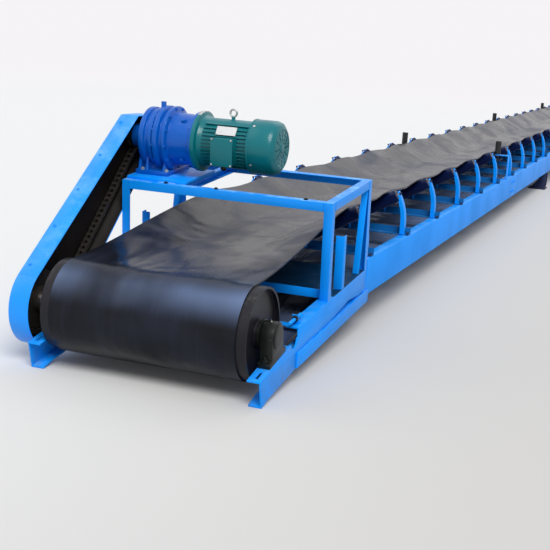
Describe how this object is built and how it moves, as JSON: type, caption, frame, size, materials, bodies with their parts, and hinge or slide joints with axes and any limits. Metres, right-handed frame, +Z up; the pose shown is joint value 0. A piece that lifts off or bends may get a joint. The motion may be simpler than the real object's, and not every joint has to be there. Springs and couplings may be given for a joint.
{
  "type": "belt conveyor",
  "caption": "Low belt conveyor on a channel frame: troughed rubber belt, head drum driven by a gear motor on a stand through a guarded chain, drum and take-up at the tail.",
  "frame": {"origin": "middle of the conveyor's box on the floor", "axes": "+Z up, +Y along the conveyor from the head drum to the tail drum, +X along the drum axis to the side away from the chain"},
  "size_m": [1.391, 22.9645, 1.3359],
  "materials": {
    "frame_blue": "gloss paint",
    "reducer_blue": "gloss paint",
    "motor_green": "gloss paint",
    "belt_rubber": "worn smooth",
    "roller_navy": "dark paint",
    "drum_dark": "dark paint",
    "steel": "turned",
    "chain_steel": "oiled",
    "bearing_dark": "dark paint",
    "foot_dark": "dark paint",
    "guide_black": "matt"
  },
  "bodies": {
    "frame": {"main_rails": "frame_blue", "head_rails": "frame_blue", "lower_bars": "frame_blue", "cross_ties": "frame_blue", "head_deck": "frame_blue", "drive_stand": "frame_blue", "stand_braces": "frame_blue", "reducer_base": "frame_blue", "chain_guard": "frame_blue", "idler_bases": "frame_blue", "idler_brackets": "frame_blue", "wing_brackets": "frame_blue", "return_brackets": "frame_blue", "guide_brackets": "frame_blue", "take_up_frames": "frame_blue", "tail_plate": "frame_blue", "reducer": "reducer_blue", "motor": "motor_green", "motor_cowl": "motor_green", "belt": "belt_rubber", "idler_rollers": "roller_navy", "return_rollers": "roller_navy", "take_up_screws": "steel", "drive_chain": "chain_steel", "head_bearings": "bearing_dark", "tail_bearings": "bearing_dark", "frame_feet": "foot_dark"},
    "drive_drum": {"drive_drum": "drum_dark", "drive_shaft": "steel", "drum_sprocket": "steel"},
    "reducer_output": {"output_shaft": "steel", "small_sprocket": "steel"},
    "tail_drum": {"tail_drum": "drum_dark", "tail_shaft": "steel"},
    "guide_roller_1_left": {"guide_roller_1_left": "guide_black"},
    "guide_roller_1_right": {"guide_roller_1_right": "guide_black"},
    "guide_roller_2_left": {"guide_roller_2_left": "guide_black"},
    "guide_roller_2_right": {"guide_roller_2_right": "guide_black"},
    "guide_roller_3_left": {"guide_roller_3_left": "guide_black"},
    "guide_roller_3_right": {"guide_roller_3_right": "guide_black"}
  },
  "joints": [
    {"name": "drive_drum_spin", "type": "hinge", "parent": "frame", "child": "drive_drum", "pos_m": [0.0525, -11.2379, 0.319], "axis": [1, 0, 0], "continuous": true},
    {"name": "reducer_output_spin", "type": "hinge", "parent": "frame", "child": "reducer_output", "pos_m": [-0.6625, -10.23755, 1.12783], "axis": [1, 0, 0], "continuous": true},
    {"name": "tail_drum_spin", "type": "hinge", "parent": "frame", "child": "tail_drum", "pos_m": [0.0525, 10.9621, 0.51508], "axis": [1, 0, 0], "continuous": true},
    {"name": "guide_roller_1_left_spin", "type": "hinge", "parent": "frame", "child": "guide_roller_1_left", "pos_m": [-0.4523, -4.2404, 0.715], "axis": [0, 0, 1], "continuous": true},
    {"name": "guide_roller_1_right_spin", "type": "hinge", "parent": "frame", "child": "guide_roller_1_right", "pos_m": [0.5573, -4.2404, 0.715], "axis": [0, 0, 1], "continuous": true},
    {"name": "guide_roller_2_left_spin", "type": "hinge", "parent": "frame", "child": "guide_roller_2_left", "pos_m": [-0.4523, 1.5496, 0.715], "axis": [0, 0, 1], "continuous": true},
    {"name": "guide_roller_2_right_spin", "type": "hinge", "parent": "frame", "child": "guide_roller_2_right", "pos_m": [0.5573, 1.5496, 0.715], "axis": [0, 0, 1], "continuous": true},
    {"name": "guide_roller_3_left_spin", "type": "hinge", "parent": "frame", "child": "guide_roller_3_left", "pos_m": [-0.4523, 7.3396, 0.715], "axis": [0, 0, 1], "continuous": true},
    {"name": "guide_roller_3_right_spin", "type": "hinge", "parent": "frame", "child": "guide_roller_3_right", "pos_m": [0.5573, 7.3396, 0.715], "axis": [0, 0, 1], "continuous": true}
  ],
  "couplings": [
    {"joint": "reducer_output_spin", "follows": "drive_drum_spin", "ratio": 2.2308},
    {"joint": "tail_drum_spin", "follows": "drive_drum_spin", "ratio": 1.4688}
  ]
}
